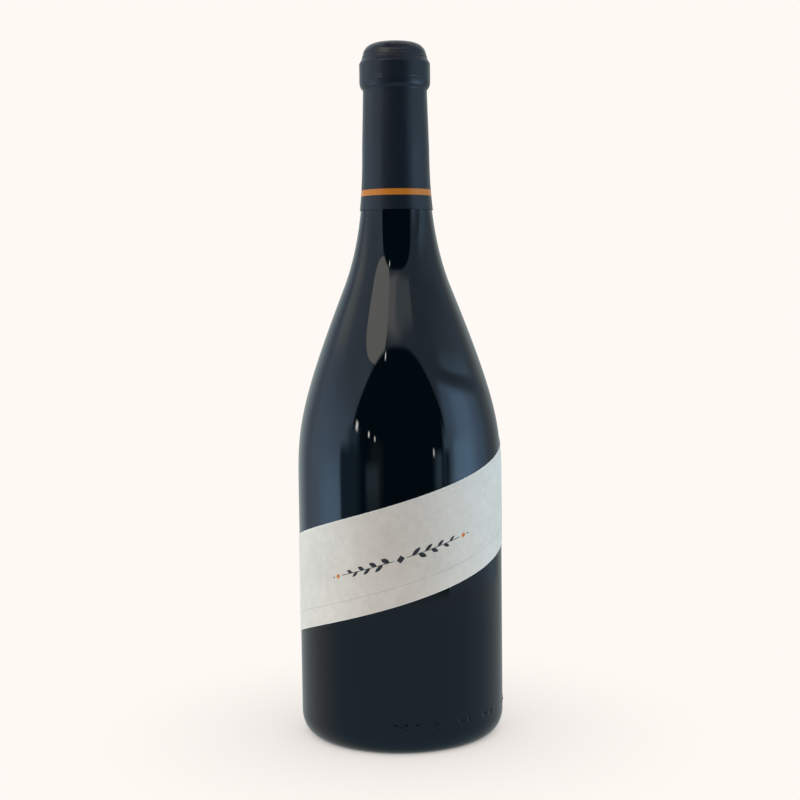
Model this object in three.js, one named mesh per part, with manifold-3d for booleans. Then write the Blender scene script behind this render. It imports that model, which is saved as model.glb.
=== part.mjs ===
// Full wine bottle with sloping shoulders: dark glass, a foil capsule over the mouth and a slanted paper label.
// Millimetres, +Z up. The origin is the centre of the base, and the middle of the label faces -Y.
// The glass can't be seen into, so the shut bottle is one solid from the punt to the mouth.

import * as THREE from 'three';
import { mergeVertices } from 'three/addons/utils/BufferGeometryUtils.js';
import Module from 'manifold-3d';

// Foot and body of the glass
const BODY_RADIUS = 44.1;
const BODY_TOP = 107;
const HEEL_WIDTH = 6;
const HEEL_HEIGHT = 9;
const STANDING_RING_WIDTH = 5;
const PUNT_DEPTH = 26;
const PUNT_CROWN = 0.55;
const PUNT_FLARE_RADIUS = 0.88;
const PUNT_FLARE_HEIGHT = 0.45;

// Shoulder and neck: two curves that meet where the outline turns from hollow to round
const TURN_RADIUS = 23.4;
const TURN_HEIGHT = 192.2;
const TURN_SLOPE = 0.4;
const SHOULDER_PULL_LOW = 24.4;
const SHOULDER_PULL_HIGH = 51;
const NECK_PULL_LOW = 12.2;
const NECK_PULL_HIGH = 30;
const NECK_RADIUS = 13.98;
const NECK_HEIGHT = 252;

// Mouth of the bottle: a ring with a bevelled top and a rounded lip
const THROAT_RADIUS = 13.3;
const THROAT_HEIGHT = 275;
const RING_RADIUS = 14.73;
const RING_FOOT = 277.4;
const RING_LOW = 280.6;
const RING_HIGH = 287.9;
const LIP_FOOT_RADIUS = 13.45;
const LIP_FOOT = 290.1;
const LIP_RADIUS = 13.2;
const LIP_EDGE_WIDTH = 6;
const LIP_EDGE_HEIGHT = 5.2;
const GLASS_HEIGHT = 296.4;

// Row of raised mould dots round part of the heel, with some places left blank
const DOT_HEIGHT = 12.8;
const DOT_RADIUS = 0.8;
const DOT_PROUD = 0.35;
const DOT_FIRST = -3.9;
const DOT_PITCH = 5.9;
const DOT_PLACES = 28;
const DOT_BAND_TOP = 17;

// Foil capsule
const CAPSULE_END = 226;
const CAPSULE_GAP = 0.1;
const CAPSULE_WALL = 0.3;

// Slanted label, wound round the body; angles in degrees from the front towards +X
const LABEL_LEFT = -120;
const LABEL_RIGHT = 100;
const LABEL_FOOT = 63.7;
const LABEL_TALL = 42.2;
const LABEL_CLIMB = 13.3;
const LABEL_GAP = 0.1;
const LABEL_THICKNESS = 0.25;

// Fineness of the facets
const ROUND_STEPS = 48;
const LABEL_STEPS_ROUND = 55;
const LABEL_STEPS_UP = 7;
const DOT_STEPS_ROUND = 8;
const DOT_STEPS_UP = 6;
const WELD = 1e-3;

const at = (radius, height) => new THREE.Vector2(radius, height);

// Place on a circle about the vertical axis: angle 0 is the front, at -Y, and grows towards +X.
function around(radius, angle, height) {
  return new THREE.Vector3(radius * Math.sin(angle), -radius * Math.cos(angle), height);
}

// Joins plane curves end to end; each comes with the number of steps that it is cut into.
function joinCurves(stretches) {
  const points = [stretches[0][0].getPoint(0)];
  for (const [curve, steps] of stretches) points.push(...curve.getPoints(steps).slice(1));
  return points;
}

function line(from, to) {
  return new THREE.LineCurve(from, to);
}

// Underside: from the top of the punt, on the axis, out to the edge of the standing ring.
function footOutline() {
  const ringOuter = BODY_RADIUS - HEEL_WIDTH;
  const ringInner = ringOuter - STANDING_RING_WIDTH;
  const punt = new THREE.CubicBezierCurve(
    at(0, PUNT_DEPTH),
    at(ringInner * PUNT_CROWN, PUNT_DEPTH),
    at(ringInner * PUNT_FLARE_RADIUS, PUNT_DEPTH * PUNT_FLARE_HEIGHT),
    at(ringInner, 0),
  );
  return joinCurves([
    [punt, 8],
    [line(at(ringInner, 0), at(ringOuter, 0)), 1],
  ]);
}

// Outer wall: from the standing ring up the heel, body, shoulder and neck to the throat below the ring.
function wallOutline() {
  const heelTop = at(BODY_RADIUS, HEEL_HEIGHT);
  const dotBandTop = at(BODY_RADIUS, DOT_BAND_TOP);
  const bodyTop = at(BODY_RADIUS, BODY_TOP);
  const turn = at(TURN_RADIUS, TURN_HEIGHT);
  const neck = at(NECK_RADIUS, NECK_HEIGHT);
  const heel = new THREE.EllipseCurve(
    BODY_RADIUS - HEEL_WIDTH, HEEL_HEIGHT, HEEL_WIDTH, HEEL_HEIGHT, -Math.PI / 2, 0,
  );
  const shoulder = new THREE.CubicBezierCurve(
    bodyTop,
    at(BODY_RADIUS, BODY_TOP + SHOULDER_PULL_LOW),
    at(TURN_RADIUS + TURN_SLOPE * SHOULDER_PULL_HIGH, TURN_HEIGHT - SHOULDER_PULL_HIGH),
    turn,
  );
  const flare = new THREE.CubicBezierCurve(
    turn,
    at(TURN_RADIUS - TURN_SLOPE * NECK_PULL_LOW, TURN_HEIGHT + NECK_PULL_LOW),
    at(NECK_RADIUS, NECK_HEIGHT - NECK_PULL_HIGH),
    neck,
  );
  return joinCurves([
    [heel, 6],
    [line(heelTop, dotBandTop), 1],
    [line(dotBandTop, bodyTop), 3],
    [shoulder, 14],
    [flare, 12],
    [line(neck, at(THROAT_RADIUS, THROAT_HEIGHT)), 1],
  ]);
}

// Mouth: the ring, its bevel and the rounded lip, in to the axis.
function mouthOutline() {
  const ringUnderside = new THREE.EllipseCurve(
    THROAT_RADIUS, RING_LOW, RING_RADIUS - THROAT_RADIUS, RING_LOW - RING_FOOT, -Math.PI / 2, 0,
  );
  const ringTop = at(RING_RADIUS, RING_HIGH);
  const lipFoot = at(LIP_FOOT_RADIUS, LIP_FOOT);
  const edgeFoot = at(LIP_RADIUS, GLASS_HEIGHT - LIP_EDGE_HEIGHT);
  const lipEdge = new THREE.EllipseCurve(
    LIP_RADIUS - LIP_EDGE_WIDTH, edgeFoot.y, LIP_EDGE_WIDTH, LIP_EDGE_HEIGHT, 0, Math.PI / 2,
  );
  return joinCurves([
    [ringUnderside, 4],
    [line(at(RING_RADIUS, RING_LOW), ringTop), 1],
    [line(ringTop, lipFoot), 1],
    [line(lipFoot, edgeFoot), 1],
    [lipEdge, 5],
    [line(at(LIP_RADIUS - LIP_EDGE_WIDTH, GLASS_HEIGHT), at(0, GLASS_HEIGHT)), 1],
  ]);
}

const wall = wallOutline();
const mouth = mouthOutline();

// Radius of the glass at a height on its outer wall.
function wallRadius(height) {
  const above = wall.findIndex((point) => point.y >= height);
  const low = wall[above - 1];
  const high = wall[above];
  return THREE.MathUtils.mapLinear(height, low.y, high.y, low.x, high.x);
}

// Moves an outline outwards along its own normals, so that a skin keeps its distance all the way.
function offsetOutline(points, distance) {
  const normals = [];
  for (let i = 0; i + 1 < points.length; i += 1) {
    const step = points[i + 1].clone().sub(points[i]).normalize();
    normals.push(at(step.y, -step.x));
  }
  return points.map((point, i) => {
    const before = normals[Math.max(i - 1, 0)];
    const after = normals[Math.min(i, normals.length - 1)];
    const middle = before.clone().add(after).normalize();
    return point.clone().addScaledVector(middle, distance / middle.dot(after));
  });
}

// Solid of revolution about the vertical axis.
function turned(outline) {
  return new THREE.LatheGeometry(outline, ROUND_STEPS).rotateX(Math.PI / 2);
}

const wasm = await Module();
wasm.setup();

// Closed solid from a geometry, with shared vertices welded and collapsed triangles dropped.
function toSolid(geometry) {
  const bare = geometry.clone();
  bare.deleteAttribute('normal');
  bare.deleteAttribute('uv');
  const welded = mergeVertices(bare, WELD);
  const corners = welded.index.array;
  const triangles = [];
  for (let i = 0; i < corners.length; i += 3) {
    const [a, b, c] = corners.slice(i, i + 3);
    if (a !== b && b !== c && c !== a) triangles.push(a, b, c);
  }
  return new wasm.Manifold(new wasm.Mesh({
    numProp: 3,
    vertProperties: new Float32Array(welded.attributes.position.array),
    triVerts: new Uint32Array(triangles),
  }));
}

function toGeometry(solid) {
  const mesh = solid.getMesh();
  const geometry = new THREE.BufferGeometry();
  geometry.setAttribute('position', new THREE.BufferAttribute(mesh.vertProperties, 3));
  geometry.setIndex(new THREE.BufferAttribute(mesh.triVerts, 1));
  geometry.computeVertexNormals();
  return geometry;
}

// Every fifth and every seventh place of the code is left blank, each counted from a start of its own.
function isDotPlace(place) {
  return place % 5 !== 3 && place % 7 !== 5;
}

function mouldDot(place) {
  const angle = THREE.MathUtils.degToRad(DOT_FIRST + place * DOT_PITCH);
  const centre = around(BODY_RADIUS + DOT_PROUD - DOT_RADIUS, angle, DOT_HEIGHT);
  const bead = new THREE.SphereGeometry(DOT_RADIUS, DOT_STEPS_ROUND, DOT_STEPS_UP);
  return bead.translate(centre.x, centre.y, centre.z);
}

// Glass: punt, heel, body, shoulder, neck and mouth in one piece, with the dots raised on the heel.
function bottleGeometry() {
  let glass = toSolid(turned([...footOutline(), ...wall.slice(1), ...mouth]));
  for (let place = 0; place < DOT_PLACES; place += 1) {
    if (isDotPlace(place)) glass = glass.add(toSolid(mouldDot(place)));
  }
  return toGeometry(glass);
}

// Capsule: a thin shell over the mouth and the upper neck, closed on top.
function capsuleGeometry() {
  const neckEnd = at(wallRadius(CAPSULE_END), CAPSULE_END);
  const covered = [neckEnd, ...wall.filter((point) => point.y > CAPSULE_END), ...mouth];
  const inner = offsetOutline(covered, CAPSULE_GAP);
  const outer = offsetOutline(covered, CAPSULE_GAP + CAPSULE_WALL);
  return turned([...inner.reverse(), ...outer]);
}

// Label: a flat strip bent round the glass, climbing evenly from left to right.
function labelGeometry() {
  const left = THREE.MathUtils.degToRad(LABEL_LEFT);
  const right = THREE.MathUtils.degToRad(LABEL_RIGHT);
  const strip = new THREE.BoxGeometry(
    right - left, LABEL_THICKNESS, LABEL_TALL, LABEL_STEPS_ROUND, 1, LABEL_STEPS_UP,
  );
  strip.translate((left + right) / 2, -LABEL_THICKNESS / 2, LABEL_FOOT + LABEL_TALL / 2);
  const places = strip.attributes.position;
  for (let i = 0; i < places.count; i += 1) {
    const angle = places.getX(i);
    const height = places.getZ(i) + LABEL_CLIMB * angle;
    const radius = wallRadius(height) + LABEL_GAP - places.getY(i);
    const place = around(radius, angle, height);
    places.setXYZ(i, place.x, place.y, place.z);
  }
  strip.computeVertexNormals();
  return strip;
}

const darkGlass = new THREE.MeshStandardMaterial({ color: 0x0a1016, roughness: 0.06, metalness: 0 });
const satinFoil = new THREE.MeshStandardMaterial({ color: 0x1c232a, roughness: 0.42, metalness: 0.3 });
const paper = new THREE.MeshStandardMaterial({ color: 0xd4d2c9, roughness: 0.9, metalness: 0 });

function piece(name, geometry, material) {
  const mesh = new THREE.Mesh(geometry, material);
  mesh.name = name;
  return mesh;
}

const wineBottle = new THREE.Group();
wineBottle.add(
  piece('bottle', bottleGeometry(), darkGlass),
  piece('capsule', capsuleGeometry(), satinFoil),
  piece('label', labelGeometry(), paper),
);

export default wineBottle;
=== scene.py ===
# Looks of a full wine bottle: near-black glass, a satin foil capsule and a slanted paper label.
# The frame is in metres. Sizes of the bottle are written in millimetres and scaled by MM.
import math

import bmesh
import bpy
import numpy as np
from mathutils import Matrix, Vector


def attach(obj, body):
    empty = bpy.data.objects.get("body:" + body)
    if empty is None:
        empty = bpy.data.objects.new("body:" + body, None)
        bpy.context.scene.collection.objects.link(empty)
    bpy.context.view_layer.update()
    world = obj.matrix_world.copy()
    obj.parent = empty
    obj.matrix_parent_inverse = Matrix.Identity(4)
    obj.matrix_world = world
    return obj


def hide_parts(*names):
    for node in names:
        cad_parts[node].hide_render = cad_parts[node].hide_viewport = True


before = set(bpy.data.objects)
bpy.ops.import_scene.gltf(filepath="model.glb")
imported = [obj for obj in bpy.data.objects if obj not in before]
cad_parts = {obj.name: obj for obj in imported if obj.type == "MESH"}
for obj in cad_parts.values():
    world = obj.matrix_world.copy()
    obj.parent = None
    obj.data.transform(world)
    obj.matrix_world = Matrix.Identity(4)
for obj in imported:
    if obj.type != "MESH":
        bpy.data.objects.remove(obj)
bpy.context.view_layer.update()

MM = 0.001
BODY = "root"

# Foot and body of the glass
BODY_RADIUS = 44.1
BODY_TOP = 107
HEEL_WIDTH = 6
HEEL_HEIGHT = 9
STANDING_RING_WIDTH = 5
PUNT_DEPTH = 26
PUNT_CROWN = 0.55
PUNT_FLARE_RADIUS = 0.88
PUNT_FLARE_HEIGHT = 0.45

# Shoulder and neck: two curves that meet where the outline turns from hollow to round
TURN_RADIUS = 23.4
TURN_HEIGHT = 192.2
TURN_SLOPE = 0.4
SHOULDER_PULL_LOW = 24.4
SHOULDER_PULL_HIGH = 51
NECK_PULL_LOW = 12.2
NECK_PULL_HIGH = 30
NECK_RADIUS = 13.98
NECK_HEIGHT = 252

# Mouth of the bottle: a ring with a bevelled top and a rounded lip
THROAT_RADIUS = 13.3
THROAT_HEIGHT = 275
RING_RADIUS = 14.73
RING_FOOT = 277.4
RING_LOW = 280.6
RING_HIGH = 287.9
LIP_FOOT_RADIUS = 13.45
LIP_FOOT = 290.1
LIP_RADIUS = 13.2
LIP_EDGE_WIDTH = 6
LIP_EDGE_HEIGHT = 5.2
GLASS_HEIGHT = 296.4

# Raised mould dots on the heel, at an even pitch in degrees
# A gap says after how many places it comes again, and the first place that it leaves out.
DOT_HEIGHT = 12.8
DOT_PROUD = 0.28
DOT_SPREAD = 0.42
DOT_REACH = 4 * DOT_SPREAD
DOT_BAND = 2 * DOT_REACH
DOT_FIRST = -3.9
DOT_PITCH = 5.9
DOT_PLACES = 28
DOT_GAPS = ((5, 3), (7, 5))
DOT_CUTS = 6

# Foil capsule
CAPSULE_END = 226
CAPSULE_GAP = 0.1
CAPSULE_WALL = 0.3
CAPSULE_TOP = GLASS_HEIGHT + CAPSULE_GAP + CAPSULE_WALL
STRIPE_LOW = 232
STRIPE_HIGH = 234.6

# Fillets of the foil: its outline is averaged over a width, wider under the collar and narrower over it
FILLET_WIDTH = 0.16
HOLLOW_FILLET_MORE = 0.3
HOLLOW_FILLET_REACH = 1.5
BEVEL_FILLET_LESS = 0.1
BEVEL_FILLET_REACH = 1
SOFT_NECK_POINTS = 3

# Folds of the foil: azimuth and reach in degrees, how proud, and fall of the bulge per degree to the right
FOLDS = [
    (28, 11, 0.1, 0.07),
    (-31, 9, 0.15, -0.06),
    (62, 9, 0.07, -0.05),
    (118, 14, 0.09, 0.06),
    (171, 8, 0.06, -0.07),
    (-116, 11, 0.08, 0.05),
    (-146, 9, 0.08, 0.07),
]
FOLD_HEIGHT = 281.7
FOLD_RIDGE_WIDTH = 0.26
FOLD_CREASE_SHARE = 0.8
FOLD_CREASE_DROP = 0.55
FOLD_CREASE_WIDTH = 0.3
FOLD_BULGE_SHARE = 0.35
FOLD_BULGE_DROP = 1.5
FOLD_BULGE_WIDTH = 0.5

# Other relief of the foil: dents in the collar, a bead, a rumpled lip and pleats on the neck
DENT_PROUD = 0.05
DENT_HEIGHT = 284.5
DENT_SPREAD = 3
LIP_BEAD_HEIGHT = 290.75
LIP_BEAD_PROUD = 0.2
LIP_BEAD_WIDTH = 0.5
LIP_FOOT_FADE = 2
LIP_TOP_FADE = 1.2
RUMPLE_PROUD = 0.06
RUMPLE_TWIST = 0.11
RUMPLE_TURN = 2.1
RIPPLE_PROUD = 0.05
RIPPLE_TWIST = 0.08
PLEAT_PROUD = 0.025
PLEAT_FOOT = 236
PLEAT_FOOT_FADE = 8
PLEAT_TOP = 276
PLEAT_TOP_FADE = 12
AXIS_FADE = 5

# Slanted label
LABEL_LEFT = -120
LABEL_RIGHT = 100
LABEL_FOOT = 63.7
LABEL_TALL = 42.2
LABEL_CLIMB = 13.3
LABEL_GAP = 0.03
LABEL_THICKNESS = 0.2

# Print on the label, measured up from its foot and to each side of its middle
RULE_UP = 8
RULE_PITCH = 0.8
RULE_DOT_SHARE = 0.5
RULE_HALF_WIDTH = 0.11
RULE_STRENGTH = 0.6
SPRIG_UP = 19
SPRIG_START = 4
SPRIG_END = 25.6
STEM_START = 2.6
STEM_HALF_WIDTH = 0.15
LEAF_PITCH = 5.4
LEAF_LEAN = 33
LEAF_LENGTH = 4.8
LEAF_WIDTH = 1.9
LEAF_START = 0.5
LEAF_LAST_SIZE = 0.55
LOWER_LEAF_SHIFT = 0.5
LOZENGE_HALF = 1.7
BERRY_BEYOND = 2.0
BERRY_RADIUS = 0.85
TIP_DOT_BEYOND = 4.2
TIP_DOT_RADIUS = 0.35
# Painted highlight along the label's top and bottom edges: width of its band in millimetres, and its
# strength
EDGE_WIDTH = 0.3
EDGE_HIGHLIGHT_STRENGTH = 0.6

# Shares of three noises in the tone of the paper
FELT_SHARE = 0.35
MOTTLE_SHARE = 0.35
PATCH_SHARE = 0.3

# Fineness of the meshes
PUNT_STEPS = 40
STANDING_RING_STEPS = 6
HEEL_STEPS = 20
DOT_ROWS_TOP = 17
DOT_ROWS = 8
WALL_STEPS = 20
SHOULDER_STEPS = 60
FLARE_STEPS = 50
NECK_STEPS = 12
UNDERSIDE_STEPS = 12
RING_STEPS = 16
BEVEL_STEPS = 5
LIP_STEPS = 3
LIP_EDGE_STEPS = 16
TOP_STEPS = 6
GLASS_AROUND = 288
CAPSULE_AROUND = 240
LABEL_ALONG = 220
LABEL_UP = 44
FOIL_SAMPLES = 2000
FOIL_STEP = 0.35
FOIL_FINE_STEP = 0.12
FOLD_FINE_REACH = 4
LIP_FINE_REACH = 2.5
SHARP_ANGLE = 40


def ellipse(centre, radii, start, end, steps):
    turn = np.radians(np.linspace(start, end, steps + 1))
    return np.array(centre) + np.array(radii) * np.column_stack([np.cos(turn), np.sin(turn)])


def bezier(p0, p1, p2, p3, steps):
    t = np.linspace(0, 1, steps + 1)[:, None]
    p0, p1, p2, p3 = map(np.array, (p0, p1, p2, p3))
    return (1 - t) ** 3 * p0 + 3 * (1 - t) ** 2 * t * p1 + 3 * (1 - t) * t**2 * p2 + t**3 * p3


def line(start, end, steps):
    return np.linspace(start, end, steps + 1)


def join(*stretches):
    """One outline from stretches that meet end to end."""
    return np.vstack([stretches[0], *(s[1:] for s in stretches[1:])])


def foot_outline():
    ring_outer = BODY_RADIUS - HEEL_WIDTH
    ring_inner = ring_outer - STANDING_RING_WIDTH
    punt = bezier(
        (0, PUNT_DEPTH),
        (ring_inner * PUNT_CROWN, PUNT_DEPTH),
        (ring_inner * PUNT_FLARE_RADIUS, PUNT_DEPTH * PUNT_FLARE_HEIGHT),
        (ring_inner, 0),
        PUNT_STEPS,
    )
    return join(punt, line((ring_inner, 0), (ring_outer, 0), STANDING_RING_STEPS))


def wall_outline():
    heel_centre = (BODY_RADIUS - HEEL_WIDTH, HEEL_HEIGHT)
    heel = ellipse(heel_centre, (HEEL_WIDTH, HEEL_HEIGHT), -90, 0, HEEL_STEPS)
    turn = (TURN_RADIUS, TURN_HEIGHT)
    shoulder = bezier(
        (BODY_RADIUS, BODY_TOP),
        (BODY_RADIUS, BODY_TOP + SHOULDER_PULL_LOW),
        (TURN_RADIUS + TURN_SLOPE * SHOULDER_PULL_HIGH, TURN_HEIGHT - SHOULDER_PULL_HIGH),
        turn,
        SHOULDER_STEPS,
    )
    flare = bezier(
        turn,
        (TURN_RADIUS - TURN_SLOPE * NECK_PULL_LOW, TURN_HEIGHT + NECK_PULL_LOW),
        (NECK_RADIUS, NECK_HEIGHT - NECK_PULL_HIGH),
        (NECK_RADIUS, NECK_HEIGHT),
        FLARE_STEPS,
    )
    return join(
        heel,
        line((BODY_RADIUS, HEEL_HEIGHT), (BODY_RADIUS, DOT_ROWS_TOP), DOT_ROWS),
        line((BODY_RADIUS, DOT_ROWS_TOP), (BODY_RADIUS, BODY_TOP), WALL_STEPS),
        shoulder,
        flare,
        line((NECK_RADIUS, NECK_HEIGHT), (THROAT_RADIUS, THROAT_HEIGHT), NECK_STEPS),
    )


def mouth_outline():
    edge_foot = GLASS_HEIGHT - LIP_EDGE_HEIGHT
    underside_size = (RING_RADIUS - THROAT_RADIUS, RING_LOW - RING_FOOT)
    underside = ellipse((THROAT_RADIUS, RING_LOW), underside_size, -90, 0, UNDERSIDE_STEPS)
    edge_centre = (LIP_RADIUS - LIP_EDGE_WIDTH, edge_foot)
    lip_edge = ellipse(edge_centre, (LIP_EDGE_WIDTH, LIP_EDGE_HEIGHT), 0, 90, LIP_EDGE_STEPS)
    return join(
        underside,
        line((RING_RADIUS, RING_LOW), (RING_RADIUS, RING_HIGH), RING_STEPS),
        line((RING_RADIUS, RING_HIGH), (LIP_FOOT_RADIUS, LIP_FOOT), BEVEL_STEPS),
        line((LIP_FOOT_RADIUS, LIP_FOOT), (LIP_RADIUS, edge_foot), LIP_STEPS),
        lip_edge,
        line((LIP_RADIUS - LIP_EDGE_WIDTH, GLASS_HEIGHT), (0, GLASS_HEIGHT), TOP_STEPS),
    )


wall = wall_outline()
mouth = mouth_outline()


def wall_radius(height):
    return np.interp(height, wall[:, 1], wall[:, 0])


def offset_outline(points, distance):
    """Moves an outline outwards along its own normals."""
    steps = np.diff(points, axis=0)
    steps /= np.linalg.norm(steps, axis=1)[:, None]
    normals = np.column_stack([steps[:, 1], -steps[:, 0]])
    before = np.vstack([normals[:1], normals])
    after = np.vstack([normals, normals[-1:]])
    middle = before + after
    middle /= np.linalg.norm(middle, axis=1)[:, None]
    return points + middle * (distance / np.sum(middle * after, axis=1))[:, None]


def around(radius, angle, height):
    """Points on circles about +Z, in metres: angle 0 is the front, at -Y, and grows towards +X."""
    radius, angle, height = np.broadcast_arrays(radius, angle, height)
    points = np.stack([radius * np.sin(angle), -radius * np.cos(angle), height], axis=-1)
    return points.reshape(-1, 3) * MM


def new_piece(name, points, faces):
    mesh = bpy.data.meshes.new(name)
    mesh.from_pydata(points.tolist(), [], faces)
    mesh.shade_smooth()
    mesh.set_sharp_from_angle(angle=math.radians(SHARP_ANGLE))
    piece = bpy.data.objects.new(name, mesh)
    bpy.context.scene.collection.objects.link(piece)
    return piece


def normals_of(points):
    """Unit normals of an outline at its points, to the right of its direction."""
    along = np.gradient(points, axis=0)
    along /= np.linalg.norm(along, axis=1)[:, None]
    return np.column_stack([along[:, 1], -along[:, 0]])


def revolve(name, outline, steps, relief=0.0):
    """Closed body turned about +Z, from an outline that starts and ends on the axis.

    relief moves the points between the ends along the outline's normals, with one row for each ring."""
    rings = outline[1:-1]
    normals = normals_of(outline)[1:-1]
    angles = np.arange(steps) * (2 * np.pi / steps)
    radii = rings[:, :1] + relief * normals[:, :1]
    heights = rings[:, 1:] + relief * normals[:, 1:]
    ring_points = around(radii, angles, heights)
    ends = around(0.0, 0.0, outline[[0, -1], 1])
    points = np.vstack([ring_points, ends])
    first_end = len(ring_points)
    last_end = first_end + 1
    last_ring = (len(rings) - 1) * steps
    faces = []
    for i in range(steps):
        j = (i + 1) % steps
        faces.append((first_end, j, i))
        faces.append((last_end, last_ring + i, last_ring + j))
        for row in range(0, last_ring, steps):
            faces.append((row + i, row + j, row + steps + j, row + steps + i))
    return new_piece(name, points, faces)


def waves(angle, seed, counts):
    """Smooth uneven ripple round the bottle, from -1 to 1."""
    rng = np.random.default_rng(seed)
    total = np.zeros_like(angle)
    for count in counts:
        total += np.sin(count * angle + rng.uniform(0, 2 * np.pi)) / len(counts)
    return total


def dot_angles():
    places = [p for p in range(DOT_PLACES) if all(p % every != first for every, first in DOT_GAPS)]
    return np.radians(DOT_FIRST + DOT_PITCH * np.array(places))


def dot_relief(point, angles):
    """Relief at a point on the wall and its distance from the nearest dot, in millimetres."""
    angle = math.atan2(point.x, -point.y)
    across = BODY_RADIUS * np.min(np.abs(angles - angle))
    up = point.z / MM - DOT_HEIGHT
    distance = math.hypot(across, up)
    return DOT_PROUD * math.exp(-((distance / DOT_SPREAD) ** 2) / 2), distance


def raise_dots(piece):
    angles = dot_angles()
    mesh = bmesh.new()
    mesh.from_mesh(piece.data)
    # Known fault: faces of the punt at the dots' height are taken too, and pulled out to the wall
    in_band = [f for f in mesh.faces if abs(f.calc_center_median().z / MM - DOT_HEIGHT) < DOT_BAND]
    near = [f for f in in_band if dot_relief(f.calc_center_median(), angles)[1] < DOT_REACH]
    edges = list({e for f in near for e in f.edges})
    cut = bmesh.ops.subdivide_edges(mesh, edges=edges, cuts=DOT_CUTS, use_grid_fill=True)
    added = cut["geom_inner"] + cut["geom_split"]
    for vertex in {g for g in added if isinstance(g, bmesh.types.BMVert)}:
        relief, _ = dot_relief(vertex.co, angles)
        flat = Vector((vertex.co.x, vertex.co.y))
        flat *= (BODY_RADIUS + relief) * MM / flat.length
        vertex.co.x, vertex.co.y = flat
    mesh.to_mesh(piece.data)
    mesh.free()


def make_bottle():
    outline = np.vstack([foot_outline(), wall[1:], mouth])
    piece = revolve("bottle_glass", outline, GLASS_AROUND)
    raise_dots(piece)
    return piece


def bell(offset, width):
    return np.exp(-((offset / width) ** 2))


def foil_outline(points):
    """Fine points along the foil's outline, averaged along its length so that corners turn into fillets.

    The foil spans the hollow under the collar with a wider fillet."""
    lengths = np.concatenate([[0], np.cumsum(np.linalg.norm(np.diff(points, axis=0), axis=1))])
    places = np.linspace(0, lengths[-1], FOIL_SAMPLES)
    even = np.column_stack([np.interp(places, lengths, points[:, i]) for i in range(2)])
    height = even[:, 1]
    fine = np.maximum(bell(height - FOLD_HEIGHT, FOLD_FINE_REACH), bell(height - LIP_FOOT, LIP_FINE_REACH))
    spacing = FOIL_STEP + (FOIL_FINE_STEP - FOIL_STEP) * fine
    count = np.concatenate([[0], np.cumsum(np.diff(places) / spacing[1:])])
    ticks = np.linspace(0, count[-1], int(count[-1]) + 1)
    centres = np.interp(ticks, count, places)
    level = np.interp(ticks, count, height)
    hollow = HOLLOW_FILLET_MORE * bell(level - RING_FOOT, HOLLOW_FILLET_REACH)
    bevel = BEVEL_FILLET_LESS * bell(level - RING_HIGH, BEVEL_FILLET_REACH)
    widths = FILLET_WIDTH + hollow - bevel
    shares = bell(places[None, :] - centres[:, None], math.sqrt(2) * widths[:, None])
    soft = shares @ even / shares.sum(axis=1)[:, None]
    soft[0] = points[0]
    soft[-1] = points[-1]
    return soft


def capsule_relief(heights, angles):
    """Unevenness of the foil, in millimetres.

    Folds and dents are in the collar, a bead is under the rumpled lip, and pleats are on the neck."""
    height = heights[:, None]
    angle = angles[None, :]
    above = height - FOLD_HEIGHT
    crease = FOLD_CREASE_SHARE * bell(above + FOLD_CREASE_DROP, FOLD_CREASE_WIDTH)
    ridge = bell(above, FOLD_RIDGE_WIDTH) - crease
    folds = 0
    for place, reach, proud, slant in FOLDS:
        apart = np.degrees(np.angle(np.exp(1j * (angle - math.radians(place)))))
        bulge = FOLD_BULGE_SHARE * bell(above + FOLD_BULGE_DROP + slant * apart, FOLD_BULGE_WIDTH)
        folds = folds + proud * bell(apart, reach) * (ridge + bulge)
    dent = waves(angle, seed=7, counts=(3, 5, 8, 13))
    dents = DENT_PROUD * dent * bell(height - DENT_HEIGHT, DENT_SPREAD)
    bead = LIP_BEAD_PROUD * bell(height - LIP_BEAD_HEIGHT, LIP_BEAD_WIDTH)
    lip_foot = np.clip((height - LIP_BEAD_HEIGHT) / LIP_FOOT_FADE, 0, 1)
    lip = lip_foot * np.clip((CAPSULE_TOP - height) / LIP_TOP_FADE, 0, 1)
    rumple = waves(angle + RUMPLE_TWIST * height, seed=4, counts=(6, 11))
    rumples = RUMPLE_PROUD * lip * rumple * np.sin(RUMPLE_TURN * height)
    rumples += RIPPLE_PROUD * lip * waves(angle - RIPPLE_TWIST * height, seed=8, counts=(9, 17))
    pleat_foot = np.clip((height - PLEAT_FOOT) / PLEAT_FOOT_FADE, 0, 1)
    pleat_fade = pleat_foot * np.clip((PLEAT_TOP - height) / PLEAT_TOP_FADE, 0, 1)
    pleats = PLEAT_PROUD * waves(angle, seed=11, counts=(9, 14, 19, 26)) * pleat_fade
    return folds + dents + bead + rumples + pleats


def make_capsule():
    neck_end = np.array([[wall_radius(CAPSULE_END), CAPSULE_END]])
    neck = np.vstack([neck_end, wall[wall[:, 1] > CAPSULE_END]])
    covered = np.vstack([neck, mouth])
    inner = offset_outline(covered, CAPSULE_GAP)
    outer = offset_outline(covered, CAPSULE_GAP + CAPSULE_WALL)
    straight = len(neck) - SOFT_NECK_POINTS
    outer = np.vstack([outer[:straight], foil_outline(outer[straight:])])
    outline = np.vstack([inner[::-1], outer])
    angles = np.arange(CAPSULE_AROUND) * (2 * np.pi / CAPSULE_AROUND)
    relief = capsule_relief(outline[1:-1, 1], angles)
    relief[: len(inner) - 1] = 0
    relief *= np.clip(outline[1:-1, :1] / AXIS_FADE, 0, 1)
    return revolve("capsule_foil", outline, CAPSULE_AROUND, relief)


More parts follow.
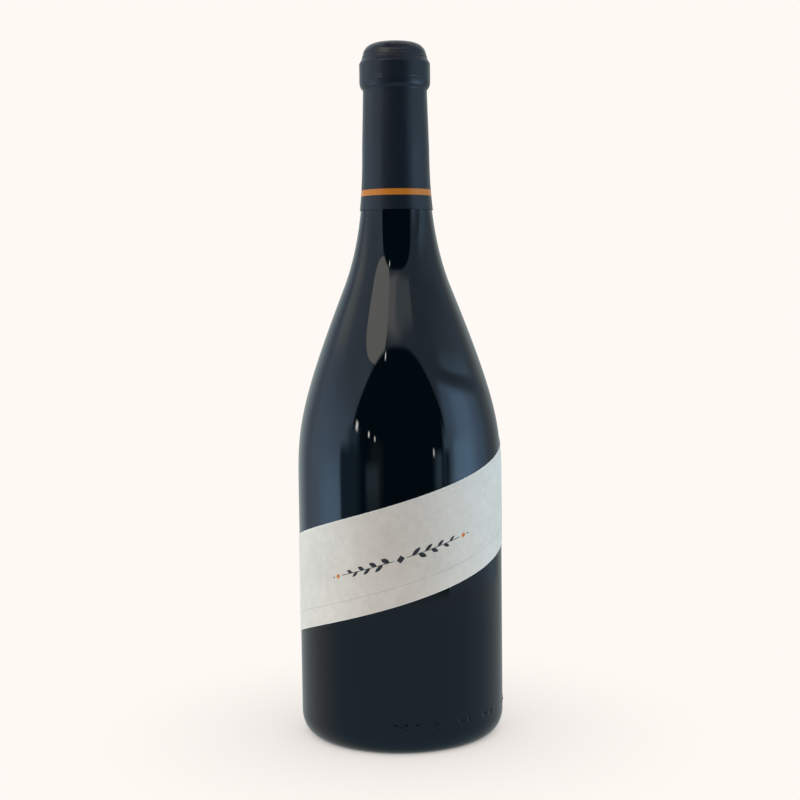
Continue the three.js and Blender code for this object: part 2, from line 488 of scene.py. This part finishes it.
def make_label():
    angle = np.radians(np.linspace(LABEL_LEFT, LABEL_RIGHT, LABEL_ALONG + 1))[:, None]
    up = np.linspace(0, LABEL_TALL, LABEL_UP + 1)[None, :]
    height = LABEL_FOOT + up + LABEL_CLIMB * angle
    glass = wall_radius(height)
    back = around(glass + LABEL_GAP, angle, height)
    front = around(glass + LABEL_GAP + LABEL_THICKNESS, angle, height)
    column = LABEL_UP + 1
    shift = len(back)
    faces = []
    for i in range(LABEL_ALONG):
        for j in range(LABEL_UP):
            a = i * column + j
            b = a + column
            faces.append((shift + a, shift + b, shift + b + 1, shift + a + 1))
            faces.append((a, a + 1, b + 1, b))
    for i in range(LABEL_ALONG):
        low = i * column
        high = low + LABEL_UP
        faces.append((low, low + column, shift + low + column, shift + low))
        faces.append((high + column, high, shift + high, shift + high + column))
    last = LABEL_ALONG * column
    for j in range(LABEL_UP):
        faces.append((j + 1, j, shift + j, shift + j + 1))
        faces.append((last + j, last + j + 1, shift + last + j + 1, shift + last + j))
    return new_piece("label_paper", np.vstack([back, front]), faces)


# Colours of the materials
GLASS_BLACK = (0.0004, 0.0006, 0.0008, 1)
LACQUER_DARK = (0.0055, 0.0075, 0.0115, 1)
LACQUER_LIGHT = (0.0075, 0.0098, 0.0145, 1)
FOIL_GLINT = (1.0, 0.95, 0.88, 1)
STRIPE_ORANGE = (0.55, 0.16, 0.012, 1)
PAPER_DARK = (0.63, 0.548, 0.465, 1)
PAPER_LIGHT = (0.75, 0.652, 0.555, 1)
# Painted highlight: a lighter paper colour along the label's top and bottom edges
PAPER_EDGE_HIGHLIGHT = (0.86, 0.8, 0.72, 1)
INK_DARK = (0.03, 0.03, 0.032, 1)
INK_ORANGE = (0.62, 0.17, 0.01, 1)


class Nodes:
    """Short calls for wiring a node tree: a value that is a socket is linked, and any other is set."""

    def __init__(self, tree):
        self.tree = tree
        tree.nodes.clear()

    def put(self, socket, value):
        if isinstance(value, bpy.types.NodeSocket):
            self.tree.links.new(value, socket)
        else:
            socket.default_value = value

    def add(self, kind, inputs=None, **settings):
        node = self.tree.nodes.new(kind)
        for name, value in settings.items():
            setattr(node, name, value)
        for name, value in (inputs or {}).items():
            self.put(node.inputs[name], value)
        return node

    def math(self, operation, *values):
        node = self.add("ShaderNodeMath", operation=operation)
        for i, value in enumerate(values):
            self.put(node.inputs[i], value)
        return node.outputs[0]

    def ramp(self, value, low, high, start=0.0, end=1.0):
        node = self.add(
            "ShaderNodeMapRange",
            {"Value": value, "From Min": low, "From Max": high, "To Min": start, "To Max": end},
        )
        return node.outputs["Result"]

    def smooth(self, value, low, high):
        node = self.add(
            "ShaderNodeMapRange",
            {"Value": value, "From Min": low, "From Max": high},
            interpolation_type="SMOOTHSTEP",
        )
        return node.outputs["Result"]

    def mix(self, share, first, second):
        node = self.add("ShaderNodeMix", data_type="RGBA")
        sockets = (node.inputs[0], node.inputs[6], node.inputs[7])
        for socket, value in zip(sockets, (share, first, second)):
            self.put(socket, value)
        return node.outputs[2]

    def place(self):
        return self.add("ShaderNodeTexCoord").outputs["Object"]

    def noise(self, vector, scale, detail=2.0, roughness=0.5, stretch=(1, 1, 1)):
        mapping = self.add("ShaderNodeMapping", {"Vector": vector, "Scale": stretch})
        node = self.add(
            "ShaderNodeTexNoise",
            {"Vector": mapping.outputs[0], "Scale": scale, "Detail": detail, "Roughness": roughness},
        )
        return node.outputs["Fac"]

    def bump(self, height, distance, normal=None):
        inputs = {"Height": height, "Strength": 1.0, "Distance": distance}
        if normal is not None:
            inputs["Normal"] = normal
        return self.add("ShaderNodeBump", inputs).outputs["Normal"]

    def surface(self, **inputs):
        shader = self.add("ShaderNodeBsdfPrincipled", {k.replace("_", " "): v for k, v in inputs.items()})
        self.add("ShaderNodeOutputMaterial", {"Surface": shader.outputs[0]})


def new_material(name):
    material = bpy.data.materials.new(name)
    material.use_nodes = True
    return material, Nodes(material.node_tree)


def glass_material():
    material, n = new_material("dark_glass")
    place = n.place()
    wave = n.noise(place, scale=30, detail=1, roughness=0.4, stretch=(1, 1, 0.45))
    smudge = n.noise(place, scale=55, detail=5, roughness=0.62)
    n.surface(
        Base_Color=GLASS_BLACK,
        Roughness=n.ramp(smudge, low=0.4, high=0.75, start=0.008, end=0.035),
        IOR=1.52,
        Normal=n.bump(wave, distance=0.00025),
    )
    return material


def foil_material():
    material, n = new_material("satin_foil")
    place = n.place()
    z = n.add("ShaderNodeSeparateXYZ", {"Vector": place}).outputs["Z"]
    above = n.math("GREATER_THAN", z, STRIPE_LOW * MM)
    below = n.math("LESS_THAN", z, STRIPE_HIGH * MM)
    stripe = n.math("MULTIPLY", above, below)
    cloud = n.noise(place, scale=90, detail=3, roughness=0.55, stretch=(1, 1, 0.35))
    lacquer = n.mix(cloud, LACQUER_DARK, LACQUER_LIGHT)
    grain = n.noise(place, scale=2600, detail=2, roughness=0.6)
    n.surface(
        Base_Color=n.mix(stripe, lacquer, STRIPE_ORANGE),
        Roughness=n.ramp(cloud, low=0.3, high=0.7, start=0.28, end=0.34),
        IOR=1.5,
        Specular_Tint=FOIL_GLINT,
        Normal=n.bump(grain, distance=0.000006),
    )
    return material


def label_print(n, place):
    """Masks of the label's dark ink, its orange ink and a painted highlight along its top and bottom
    edges.

    The ornament is a pair of leafy sprigs that spread from a lozenge over a dotted rule, with an orange
    berry and a small dot beyond each tip."""
    axes = n.add("ShaderNodeSeparateXYZ", {"Vector": place})
    angle = n.math("ARCTAN2", axes.outputs["X"], n.math("MULTIPLY", axes.outputs["Y"], -1.0))
    along = n.math("MULTIPLY", angle, BODY_RADIUS)
    height = n.math("DIVIDE", axes.outputs["Z"], MM)
    above_foot = n.math("SUBTRACT", height, LABEL_FOOT)
    up = n.math("SUBTRACT", above_foot, n.math("MULTIPLY", angle, LABEL_CLIMB))

    def off(value, centre):
        return n.math("ABSOLUTE", n.math("SUBTRACT", value, centre))

    def within(value, low, high):
        return n.math("MULTIPLY", n.math("GREATER_THAN", value, low), n.math("LESS_THAN", value, high))

    def disc(centre, radius):
        aside = n.math("POWER", off(side, centre), 2.0)
        distance = n.math("SQRT", n.math("ADD", aside, n.math("POWER", rise, 2.0)))
        return n.math("LESS_THAN", distance, radius)

    rule_dot = n.math("LESS_THAN", n.math("FRACT", n.math("DIVIDE", along, RULE_PITCH)), RULE_DOT_SHARE)
    rule = n.math("MULTIPLY", n.math("LESS_THAN", off(up, RULE_UP), RULE_HALF_WIDTH), rule_dot)

    side = n.math("ABSOLUTE", along)
    rise = off(up, SPRIG_UP)
    on_stem = n.math("LESS_THAN", rise, STEM_HALF_WIDTH)
    stem = n.math("MULTIPLY", on_stem, within(side, STEM_START, SPRIG_END))
    lower = n.math("MULTIPLY", n.math("LESS_THAN", up, SPRIG_UP), LOWER_LEAF_SHIFT)
    step = n.math("DIVIDE", n.math("SUBTRACT", side, SPRIG_START), LEAF_PITCH)
    step = n.math("FRACT", n.math("ADD", step, lower))
    ahead = n.math("SUBTRACT", n.math("MULTIPLY", step, LEAF_PITCH), LEAF_START)
    size = n.ramp(side, SPRIG_START, SPRIG_END, 1.0, LEAF_LAST_SIZE)
    cosine = math.cos(math.radians(LEAF_LEAN))
    sine = math.sin(math.radians(LEAF_LEAN))
    outward = n.math("ADD", n.math("MULTIPLY", ahead, cosine), n.math("MULTIPLY", rise, sine))
    across = n.math("SUBTRACT", n.math("MULTIPLY", rise, cosine), n.math("MULTIPLY", ahead, sine))
    half = LEAF_LENGTH / 2
    from_middle = n.math("SUBTRACT", n.math("DIVIDE", n.math("DIVIDE", outward, size), half), 1.0)
    roundness = n.math("SUBTRACT", 1.0, n.math("POWER", n.math("ABSOLUTE", from_middle), 2.0))
    width = n.math("MULTIPLY", n.math("MULTIPLY", roundness, LEAF_WIDTH / 2), size)
    leaf = n.math("LESS_THAN", n.math("ABSOLUTE", across), width)
    margin = n.math("MULTIPLY", lower, LEAF_PITCH)
    first = n.math("ADD", margin, SPRIG_START)
    last = n.math("SUBTRACT", SPRIG_END, margin)
    leaf = n.math("MULTIPLY", leaf, within(side, first, last))
    lozenge = n.math("LESS_THAN", n.math("ADD", side, rise), LOZENGE_HALF)
    tip_dot = disc(SPRIG_END + TIP_DOT_BEYOND, TIP_DOT_RADIUS)
    berry = disc(SPRIG_END + BERRY_BEYOND, BERRY_RADIUS)

    dark = n.math("MULTIPLY", rule, RULE_STRENGTH)
    for mark in (stem, leaf, lozenge, tip_dot):
        dark = n.math("MAXIMUM", dark, mark)
    # Painted highlight: a thin band along the top and bottom edges of the label
    edge = n.math("GREATER_THAN", off(up, LABEL_TALL / 2), LABEL_TALL / 2 - EDGE_WIDTH)
    return dark, berry, edge


def paper_material():
    material, n = new_material("label_paper")
    place = n.place()
    felt = n.noise(place, scale=700, detail=4, roughness=0.65)
    fibre = n.noise(place, scale=1500, detail=3, roughness=0.6, stretch=(0.35, 0.35, 1.6))
    mottle = n.noise(place, scale=260, detail=3, roughness=0.6)
    patch = n.noise(place, scale=60, detail=3, roughness=0.5)
    tone = n.math("ADD", n.math("MULTIPLY", felt, FELT_SHARE), n.math("MULTIPLY", mottle, MOTTLE_SHARE))
    tone = n.math("ADD", tone, n.math("MULTIPLY", patch, PATCH_SHARE))
    paper = n.mix(n.ramp(tone, low=0.35, high=0.65), PAPER_DARK, PAPER_LIGHT)
    dark, orange, edge = label_print(n, place)
    # Painted highlight: lighter paper along the label's top and bottom edges
    printed = n.mix(n.math("MULTIPLY", edge, EDGE_HIGHLIGHT_STRENGTH), paper, PAPER_EDGE_HIGHLIGHT)
    printed = n.mix(dark, printed, INK_DARK)
    printed = n.mix(orange, printed, INK_ORANGE)
    normal = n.bump(felt, distance=0.00004)
    n.surface(
        Base_Color=printed,
        Roughness=n.ramp(felt, low=0.2, high=0.8, start=0.75, end=0.95),
        Normal=n.bump(fibre, distance=0.00002, normal=normal),
    )
    return material


def dress(piece, material, node):
    piece.data.materials.append(material)
    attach(piece, BODY)
    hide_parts(node)


dress(make_bottle(), glass_material(), "bottle")
dress(make_capsule(), foil_material(), "capsule")
dress(make_label(), paper_material(), "label")


# Floor, fills and camera
CREAM = (1.0, 0.947, 0.905)
FLOOR_RADIUS = 1.2
FLOOR_SEGMENTS = 96
FLOOR_FADE = (0.25, 0.8)
SHADE_REACH = 0.09
SHADE_SAMPLES = 12
SHADE_POWER = 0.45
FILL_AIM = (0, 0, 0.1)
FILL_SIZE = 1.0
FILLS = [
    ("front_fill", (-0.2, -1.6, 0.5), 4.9, (0.96, 0.94, 1.0)),
    ("left_fill", (-1.6, -0.15, 0.5), 15.0, (0.845, 1.0, 1.0)),
    ("right_fill", (1.6, -0.15, 0.5), 10.4, (0.655, 0.94, 1.0)),
]
LENS = 65.03
CAMERA_EYE = (0, -626, 195)
CAMERA_TARGET = (0.53, 0, 144.3)
CAMERA_ROLL = -0.72

# Surroundings that the gloss shows: a dim room, and a drum round the bottle with windows at both sides of
# a dark arch and softboxes over it. Azimuth 0 is the camera's side and 90 is +X, in degrees. Each row lies
# over those before it. It has a colour, azimuths, heights, how soft its left, right, lower and upper edges
# are, and how much it climbs with each degree to the right. Heights in the room are elevations in degrees.
# Heights on the drum are millimetres on a plain cylinder of DRUM_RADIUS as seen from DRUM_EYE, because the
# drum itself flares at the top.
ROOM = (0.37, 0.42, 0.44)
ROOM_PANELS = [
    ((0.3, 0.45, 0.63), (-200, 200), (24, 120), (1, 1, 5, 1), 0),
    ((0.2, 0.27, 0.36), (-200, 200), (55, 120), (1, 1, 10, 1), 0),
    ((0.6, 0.6, 0.58), (-200, 200), (76, 120), (1, 1, 8, 1), 0),
    ((0.03, 0.045, 0.06), (-50, 50), (57, 80), (15, 15, 5, 6), 0),
    ((0.8, 0.87, 0.9), (-200, -120), (15, 65), (1, 25, 8, 12), 0),
    ((0.8, 0.87, 0.9), (120, 200), (15, 65), (25, 1, 8, 12), 0),
    ((0.27, 0.4, 0.53), (-90, 118), (-120, -12), (20, 25, 1, 2), 0),
    ((0.44, 0.49, 0.5), (-165, -100), (-120, -12), (15, 25, 1, 2), 0),
    ((0.58, 0.67, 0.66), (-166, -105), (-12, 30), (14, 15, 2, 12), 0),
    ((0.5, 0.61, 0.74), (-146, -105), (-12, 30), (10, 10, 2, 12), 0),
    ((0.58, 0.66, 0.68), (118, 166), (5, 60), (15, 14, 8, 10), 0),
]

# Radius and height of the rings of the drum, and of the eye
DRUM_RADIUS = 320
DRUM_RINGS = [(320, -20), (320, 250), (1600, 2029)]
DRUM_EYE = (33, 167)
DRUM_STEPS = 120
DRUM_FOOT_FADE = 14
DRUM_PANELS = [
    ((0.32, 0.45, 0.59), (-30, 125), (-100, 700), (20, 20, 10, 5), 0),
    ((0.54, 0.7, 0.9), (-120, -35), (-100, 700), (14, 10, 10, 5), 0),
    ((0.62, 0.68, 0.7), (-125, -60), (400, 700), (12, 8, 40, 5), 0),
    ((0.8, 1.15, 1.6), (-99, -55), (-100, 240), (16, 6, 10, 85), 0),
    ((1.1, 1.75, 2.55), (-88, -60), (-100, 100), (14, 5, 10, 60), 0),
    ((0.9, 1.0, 1.04), (-112, -90), (290, 350), (8, 8, 25, 25), 1),
    ((0.6, 0.8, 1.0), (-56, -38), (280, 345), (6, 5, 30, 15), 0),
    ((0.42, 0.58, 0.73), (61, 104), (262, 345), (8, 14, 10, 40), -1.67),
    ((0.58, 0.9, 1.22), (65, 104), (277, 300), (8, 12, 5, 16), -1.67),
    ((0.72, 1.1, 1.65), (52, 102), (-100, 264), (5, 14, 10, 11), -1.67),
    ((1.08, 1.8, 2.65), (64, 88), (-100, 258), (8, 10, 10, 13), -1.67),
    ((1.3, 2.2, 3.2), (60, 82), (62, 160), (6, 9, 20, 20), 0),
    ((0.32, 0.45, 0.58), (52, 125), (-100, 62), (3, 15, 10, 22), 0),
    ((0.26, 0.37, 0.5), (58, 126), (247, 263), (8, 14, 9, 9), -1.8),
    ((1.45, 1.5, 1.5), (-24, 4), (404, 600), (0.5, 8, 18, 10), 0),
    ((0.8, 0.95, 1.05), (-4, 29), (410, 600), (6, 2, 18, 10), 0),
    ((3.6, 3.5, 3.35), (-70, 60), (478, 700), (10, 10, 12, 5), 0),
]

# Panels with one round end: colour, centre, half width, length of that end, power of its curve, heights
# A negative length puts the round end below the centre.
ROUND_PANEL_EDGE = 0.05
ROUND_PANEL_BLURS = (5, 10)
ROUND_PANELS = [
    ((2.05, 2.03, 1.93), (-39.5, 425), (20, -74), 2.6, (-100, 600)),
    ((0.012, 0.055, 0.09), (-0.7, 150), (52.8, 241), 2.4, (-100, 600)),
]

# Streaks and small sparks that lie over the other panels of the drum, in rows like theirs
VEILS = [
    ((0.28, 0.46, 0.66), (-57, -45), (140, 205), (7, 4, 35, 14), 0),
    ((0.12, 0.23, 0.34), (-65.5, -43), (-100, 152), (2.5, 6, 10, 24), 0),
    ((0.6, 0.95, 1.3), (48, 57), (60, 195), (2.5, 4, 30, 40), 0),
    ((0.4, 0.65, 0.9), (38, 45), (60, 138), (4, 2.5, 30, 16), 0),
    ((0.1, 0.2, 0.29), (48, 54), (60, 142), (2.5, 3, 30, 16), 0),
    ((0.1, 0.14, 0.17), (-30, -18), (60, 165), (4, 4, 25, 25), 0),
    ((0.3, 0.45, 0.55), (-35, -22), (60, 110), (3, 3, 25, 18), 0),
    ((11.0, 11.0, 10.6), (-49, -46.5), (198, 220), (1.2, 1.2, 7, 6), -2),
    ((14.0, 14.0, 13.5), (-33.5, -32.3), (184, 198), (0.8, 0.8, 5, 5), -2),
    ((12.0, 12.0, 11.6), (-26.5, -25.5), (174, 186), (0.8, 0.8, 5, 5), -2),
    ((11.0, 11.2, 11.4), (36, 37), (132, 148), (0.8, 0.8, 7, 7), 0),
    ((14.0, 14.0, 13.5), (-20.2, -19), (368, 378), (0.6, 0.6, 4, 4), 0),
]


def between(n, value, span, low_blur, high_blur):
    rise = n.smooth(value, span[0] - low_blur, span[0] + low_blur)
    fall = n.smooth(value, span[1] + high_blur, span[1] - high_blur)
    return n.math("MULTIPLY", rise, fall)


def overlay(n, azimuth, height, colour, panels):
    """Lays soft panels over a colour, and gives the new colour and how much of it the panels cover."""
    bare = 1.0
    for tint, azimuths, heights, (left, right, low, high), climb in panels:
        aside = n.math("SUBTRACT", azimuth, sum(azimuths) / 2)
        level = n.math("SUBTRACT", height, n.math("MULTIPLY", aside, climb))
        beside = between(n, azimuth, azimuths, left, right)
        cover = n.math("MULTIPLY", beside, between(n, level, heights, low, high))
        colour = n.mix(cover, colour, (*tint, 1))
        bare = n.math("MULTIPLY", bare, n.math("SUBTRACT", 1.0, cover))
    return colour, n.math("SUBTRACT", 1.0, bare)


def azimuth_of(n, axes):
    towards = n.math("MULTIPLY", axes.outputs["Y"], -1.0)
    return n.math("DEGREES", n.math("ARCTAN2", axes.outputs["X"], towards))


def make_floor():
    """Pale floor that glows evenly, with a soft shade under the bottle, and fades out before its edge."""
    mesh = bpy.data.meshes.new("floor")
    shape = bmesh.new()
    bmesh.ops.create_circle(shape, cap_ends=True, segments=FLOOR_SEGMENTS, radius=FLOOR_RADIUS)
    shape.to_mesh(mesh)
    shape.free()
    floor = bpy.data.objects.new("floor", mesh)
    bpy.context.scene.collection.objects.link(floor)
    material, n = new_material("pale_floor")
    shading = n.add("ShaderNodeAmbientOcclusion", {"Distance": SHADE_REACH}, samples=SHADE_SAMPLES)
    shade = n.math("POWER", shading.outputs["AO"], SHADE_POWER)
    glow = n.add("ShaderNodeEmission", {"Color": (*CREAM, 1), "Strength": shade})
    clear = n.add("ShaderNodeBsdfTransparent")
    distance = n.add("ShaderNodeVectorMath", {0: n.place()}, operation="LENGTH").outputs["Value"]
    fade = n.ramp(distance, *FLOOR_FADE)
    shown = n.add("ShaderNodeMixShader", {0: fade, 1: glow.outputs[0], 2: clear.outputs[0]})
    n.add("ShaderNodeOutputMaterial", {"Surface": shown.outputs[0]})
    mesh.materials.append(material)
    floor.visible_glossy = False


def make_world():
    """Even cream for the camera, and a dim room for what lights the bottle."""
    world = bpy.data.worlds.new("studio")
    world.use_nodes = True
    n = Nodes(world.node_tree)
    axes = n.add("ShaderNodeSeparateXYZ", {"Vector": n.add("ShaderNodeTexCoord").outputs["Generated"]})
    elevation = n.math("DEGREES", n.math("ARCSINE", axes.outputs["Z"]))
    room, _ = overlay(n, azimuth_of(n, axes), elevation, (*ROOM, 1), ROOM_PANELS)
    seen = n.add("ShaderNodeLightPath").outputs["Is Camera Ray"]
    backdrop = n.add("ShaderNodeBackground", {"Color": (*CREAM, 1), "Strength": 1.0})
    studio = n.add("ShaderNodeBackground", {"Color": room, "Strength": 1.0})
    shown = n.add("ShaderNodeMixShader", {0: seen, 1: studio.outputs[0], 2: backdrop.outputs[0]})
    n.add("ShaderNodeOutputWorld", {"Surface": shown.outputs[0]})
    bpy.context.scene.world = world


def rounded(n, azimuth, height, centre, half, power):
    """Mask of a panel with one round end, half[1] above its centre, or below it if half[1] is negative."""
    aside = n.math("ABSOLUTE", n.math("DIVIDE", n.math("SUBTRACT", azimuth, centre[0]), half[0]))
    beyond = n.math("MAXIMUM", n.math("DIVIDE", n.math("SUBTRACT", height, centre[1]), half[1]), 0.0)
    reach = n.math("ADD", n.math("POWER", aside, power), n.math("POWER", beyond, power))
    return n.smooth(reach, 1 + ROUND_PANEL_EDGE, 1 - ROUND_PANEL_EDGE)


def make_drum():
    """Glowing band round the bottle that only its gloss and shading see."""
    angles = np.arange(DRUM_STEPS) * (2 * np.pi / DRUM_STEPS)
    points = np.vstack([around(radius, angles, height) for radius, height in DRUM_RINGS])
    faces = []
    for low in range(0, DRUM_STEPS * (len(DRUM_RINGS) - 1), DRUM_STEPS):
        high = low + DRUM_STEPS
        for i in range(DRUM_STEPS):
            j = (i + 1) % DRUM_STEPS
            faces.append((low + i, low + j, high + j, high + i))
    mesh = bpy.data.meshes.new("drum")
    mesh.from_pydata(points.tolist(), [], faces)
    drum = bpy.data.objects.new("drum", mesh)
    bpy.context.scene.collection.objects.link(drum)
    drum.visible_camera = False
    drum.visible_shadow = False
    material, n = new_material("drum")
    mesh.materials.append(material)
    axes = n.add("ShaderNodeSeparateXYZ", {"Vector": n.place()})
    azimuth = azimuth_of(n, axes)
    radius = n.math("SQRT", n.math("ADD", *(n.math("POWER", axes.outputs[a], 2.0) for a in "XY")))
    reach = n.math("SUBTRACT", n.math("DIVIDE", radius, MM), DRUM_EYE[0])
    rise = n.math("SUBTRACT", n.math("DIVIDE", axes.outputs["Z"], MM), DRUM_EYE[1])
    slope = n.math("DIVIDE", rise, reach)
    height = n.math("ADD", n.math("MULTIPLY", slope, DRUM_RADIUS - DRUM_EYE[0]), DRUM_EYE[1])
    colour, cover = overlay(n, azimuth, height, (0, 0, 0, 1), DRUM_PANELS)
    for tint, centre, half, power, heights in ROUND_PANELS:
        panel = rounded(n, azimuth, height, centre, half, power)
        panel = n.math("MULTIPLY", panel, between(n, height, heights, *ROUND_PANEL_BLURS))
        colour = n.mix(panel, colour, (*tint, 1))
        cover = n.math("MAXIMUM", cover, panel)
    colour, veiled = overlay(n, azimuth, height, colour, VEILS)
    cover = n.math("MAXIMUM", cover, veiled)
    cover = n.math("MULTIPLY", cover, n.smooth(height, 0, DRUM_FOOT_FADE))
    glow = n.add("ShaderNodeEmission", {"Color": colour, "Strength": 1.0})
    clear = n.add("ShaderNodeBsdfTransparent")
    shown = n.add("ShaderNodeMixShader", {0: cover, 1: clear.outputs[0], 2: glow.outputs[0]})
    n.add("ShaderNodeOutputMaterial", {"Surface": shown.outputs[0]})


def make_fills():
    """Wide soft lights for the matt surfaces alone."""
    for name, place, power, tint in FILLS:
        light = bpy.data.lights.new(name, "AREA")
        light.shape = "RECTANGLE"
        light.size = FILL_SIZE
        light.size_y = FILL_SIZE
        light.energy = power
        light.color = tint
        lamp = bpy.data.objects.new(name, light)
        lamp.location = place
        lamp.rotation_euler = (Vector(FILL_AIM) - lamp.location).to_track_quat("-Z", "Y").to_euler()
        lamp.visible_camera = False
        lamp.visible_glossy = False
        bpy.context.scene.collection.objects.link(lamp)


def make_camera():
    data = bpy.data.cameras.new("camera")
    data.lens = LENS
    camera = bpy.data.objects.new("camera", data)
    eye = Vector(CAMERA_EYE) * MM
    target = Vector(CAMERA_TARGET) * MM
    look = (target - eye).to_track_quat("-Z", "Y").to_matrix().to_4x4()
    roll = Matrix.Rotation(math.radians(CAMERA_ROLL), 4, "Z")
    camera.matrix_world = Matrix.Translation(eye) @ look @ roll
    bpy.context.scene.collection.objects.link(camera)
    bpy.context.scene.camera = camera


make_floor()
make_world()
make_drum()
make_fills()
make_camera()

view = bpy.context.scene.view_settings
view.view_transform = "Standard"

bpy.context.view_layer.update()
